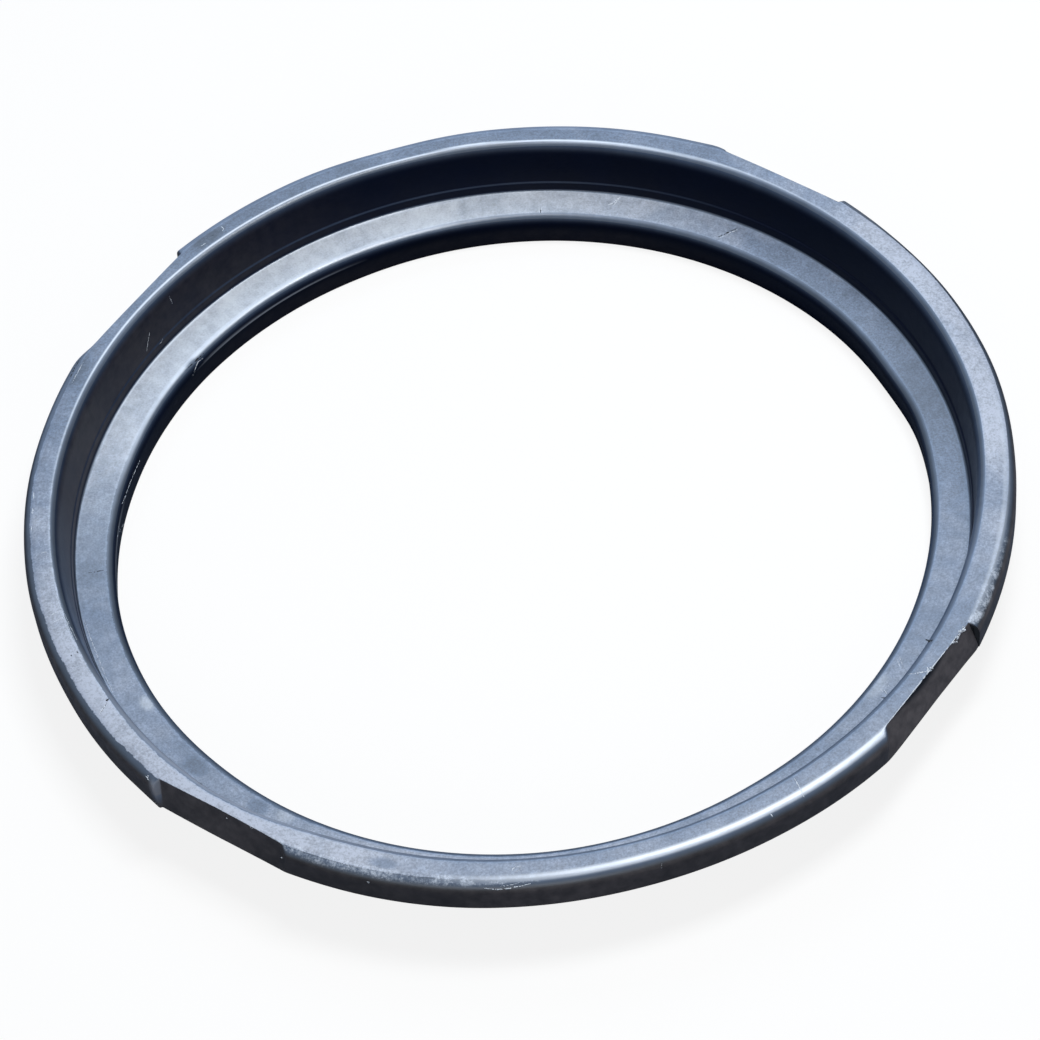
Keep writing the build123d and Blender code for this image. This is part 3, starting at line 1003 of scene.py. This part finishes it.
# Dark ridges that paint the shade in cuts, grooves and the crack at the torn nose
CUT_SHADOW_LINES = (
    (2.6, 925.8, 639.4, 928.3, 641.2, 931.2, 641.4, 933.2, 640),
    (1.9, 881.5, 697.8, 883.8, 698, 886.2, 696.6), (1.7, 105.5, 701.5, 109, 698.8),
    (0.5, 100.5, 713.5, 107, 703), (1.3, 70.5, 654.5, 72, 656), (1.2, 76.5, 651.5, 78, 653),
    (0.8, 88, 572.5, 95, 572, 104, 570), (1.1, 188, 368, 196, 360.5, 204, 353),
    (1.1, 81, 358, 75, 367, 70, 378), (1, 718, 237.3, 728, 232.4, 737, 228.4), (0.8, 540.5, 207, 541, 213.5),
    (1.1, 200.5, 783.6, 202, 784.6), (0.9, 205, 240, 208, 237), (0.7, 211, 236, 214, 235),
)
# Burrs and nicks: a pixel, and the size in millimetres
BURRS = (
    (964.5, 627.6, 1.8), (963.2, 629.4, 2.6), (961.6, 631.4, 3.2), (959.5, 634.2, 2.8), (957.2, 637.2, 2),
    (955.2, 639.8, 3), (953.2, 642, 2), (928.8, 670.8, 2.8), (930.4, 668.2, 2), (369, 882.5, 1.3),
    (282, 858, 1.3), (251, 827, 1.3), (227, 818, 0.9), (195, 213, 0.8), (33.4, 512, 1.2), (147, 777, 1.6),
)
# Dark flakes that paint the shade in nicks
NICK_SHADOWS = ((928.2, 640.3, 1.2), (930, 641.2, 1.7), (931.8, 640.6, 1.2), (883, 697.8, 0.8), (885, 697.4, 1))
# The split flat's top edge, painted with a pale line that stands for its highlight: from one azimuth to
# another, and its width in millimetres
EDGE_HIGHLIGHTS = ((311.5, 327.9, 0.9),)

camera_data = bpy.data.cameras.new("camera")
camera_data.sensor_width = SENSOR_WIDTH
camera_data.lens = FOCAL_PIXELS / IMAGE_SIDE * SENSOR_WIDTH
camera_data.clip_end = FARTHEST_SEEN
camera = in_scene("camera", camera_data)
facing_ring = Matrix((across, above, behind)).transposed().to_4x4()
camera.matrix_world = Matrix.Translation(camera_place) @ facing_ring
bpy.context.scene.camera = camera

# Polyethylene with dust and painted sheen on the level and rounded faces; a darker, bluer copy with little
# shine on the walls, which paints their shade and the blue reflection in them; black for cut ends and for
# painted shade in the split, cuts and nicks; and stretched white, which also paints a few highlights
weathered = weathered_polyethylene("weathered_black_polyethylene", 0.5, "#04070f", "#0b0b10")
shaded = weathered_polyethylene("shaded_black_polyethylene", 0.1, "#040e26", "#0a0e1a")
black_cut_and_shade = marked_polyethylene("cut_and_shade_polyethylene", "#030509", "#0c1018", 0.85)
stretched = marked_polyethylene("stretched_polyethylene", "#eef1f5", "#b9c3d2", 0.45)
ring = in_scene("weathered_ring", ring_mesh(), weathered, shaded, black_cut_and_shade)
# The web is black, and paints the deep shade inside the split
web = in_scene("split_shade_web", tucked_web(), black_cut_and_shade)
skin = BVHTree.FromPolygons([vertex.co.copy() for vertex in ring.data.vertices],
                            [tuple(polygon.vertices) for polygon in ring.data.polygons])
pale_and_highlight_marks = marks_mesh(
    "pale_scratches_and_highlights", skin, PALE_SCRATCH_AND_HIGHLIGHT_LINES, BURRS, rise=0.18, broken=0.12, seed=7, edges=EDGE_HIGHLIGHTS)
painted_shadow_marks = marks_mesh("painted_cut_shadows", skin, CUT_SHADOW_LINES, NICK_SHADOWS, rise=0.08, broken=0.0, seed=11)
scratches = in_scene("pale_scratches_and_highlights", pale_and_highlight_marks, stretched)
cut_shadow_object = in_scene("painted_cut_shadows", painted_shadow_marks, black_cut_and_shade)
for piece in (ring, web, scratches, cut_shadow_object):
    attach(piece, "root")
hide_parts("riser_ring")

# Flat soft lights facing the ring: direction, distance, width and height in metres, radiance and colour
for name, direction, distance, width, height, radiance, colour in (
    ("sky_light", (0, 0.64, 0.77), 3.0, 2.2, 1.4, 2.5, (0.6, 0.78, 1.0)),
    ("overhead_light", (0.2, 0.08, 0.97), 2.6, 0.66, 1.0, 26.0, (0.95, 0.98, 1.0)),
    ("near_light", (-0.15, -0.88, 0.45), 3.0, 2.4, 1.0, 2.4, (0.95, 0.97, 1.0)),
):
    lamp = bpy.data.lights.new(name, "AREA")
    lamp.shape = "RECTANGLE"
    lamp.size = width
    lamp.size_y = height
    lamp.energy = radiance * math.pi * width * height
    lamp.color = colour
    light = in_scene(name, lamp)
    away = Vector(direction).normalized()
    light.location = away * distance
    light.rotation_euler = away.to_track_quat("Z", "Y").to_euler()

# The pale floor: it keeps a part of the ring's shadow, the rest of it is plain white to the camera
FLOOR_REACH = 9.0
FLOOR_DROP = 0.2 * MM
WHITE_SHARE = 0.86
floor_corners = [(x * FLOOR_REACH, y * FLOOR_REACH, 0) for x, y in ((-1, -1), (1, -1), (1, 1), (-1, 1))]
paper = bpy.data.materials.new("pale_floor")
paper.use_nodes = True
paper.node_tree.nodes.remove(paper.node_tree.nodes["Principled BSDF"])
seen = add(paper, "ShaderNodeLightPath").outputs["Is Camera Ray"]
matte = add(paper, "ShaderNodeBsdfDiffuse", {"Color": mixed(paper, seen, "#525b6a", "#fafafa")})
white = add(paper, "ShaderNodeEmission", Strength=1.0)
share = join(add(paper, "ShaderNodeMath", operation="MULTIPLY"), (0, seen), (1, WHITE_SHARE))
blend = add(paper, "ShaderNodeMixShader", {0: share.outputs[0], 1: matte.outputs[0], 2: white.outputs[0]})
join(paper.node_tree.nodes["Material Output"], ("Surface", blend.outputs[0]))
floor = in_scene("floor", new_mesh("floor", floor_corners, [(0, 1, 2, 3)]), paper)
floor.location.z = -FLOOR_DROP

# The sky: brighter overhead to the camera and in reflections, and faint as a light
SKY_COLOUR = (0.74, 0.87, 1.0, 1.0)
SKY_LIGHT = 0.08
HORIZON_BRIGHTNESS, UPPER_BRIGHTNESS, UPPER_HEIGHT = 0.55, 1.2, 0.6
world = bpy.data.worlds.new("studio")
bpy.context.scene.world = world
world.use_nodes = True
backdrop = world.node_tree.nodes["Background"]
backdrop.inputs["Color"].default_value = SKY_COLOUR
rays = add(world, "ShaderNodeLightPath").outputs
shown = add(world, "ShaderNodeMath", operation="MAXIMUM")
join(shown, (0, rays["Is Camera Ray"]), (1, rays["Is Glossy Ray"]))
direction = add(world, "ShaderNodeTexCoord").outputs["Generated"]
height = add(world, "ShaderNodeSeparateXYZ", {"Vector": direction}).outputs["Z"]
brightness = add(world, "ShaderNodeMapRange", {"Value": height}, From_Min=0.0, From_Max=UPPER_HEIGHT,
                 To_Min=HORIZON_BRIGHTNESS, To_Max=UPPER_BRIGHTNESS)
strength = add(world, "ShaderNodeMapRange", {"Value": shown.outputs[0]}, To_Min=SKY_LIGHT)
join(strength, ("To Max", brightness.outputs["Result"]))
join(backdrop, ("Strength", strength.outputs["Result"]))

bpy.context.scene.view_settings.view_transform = "Standard"
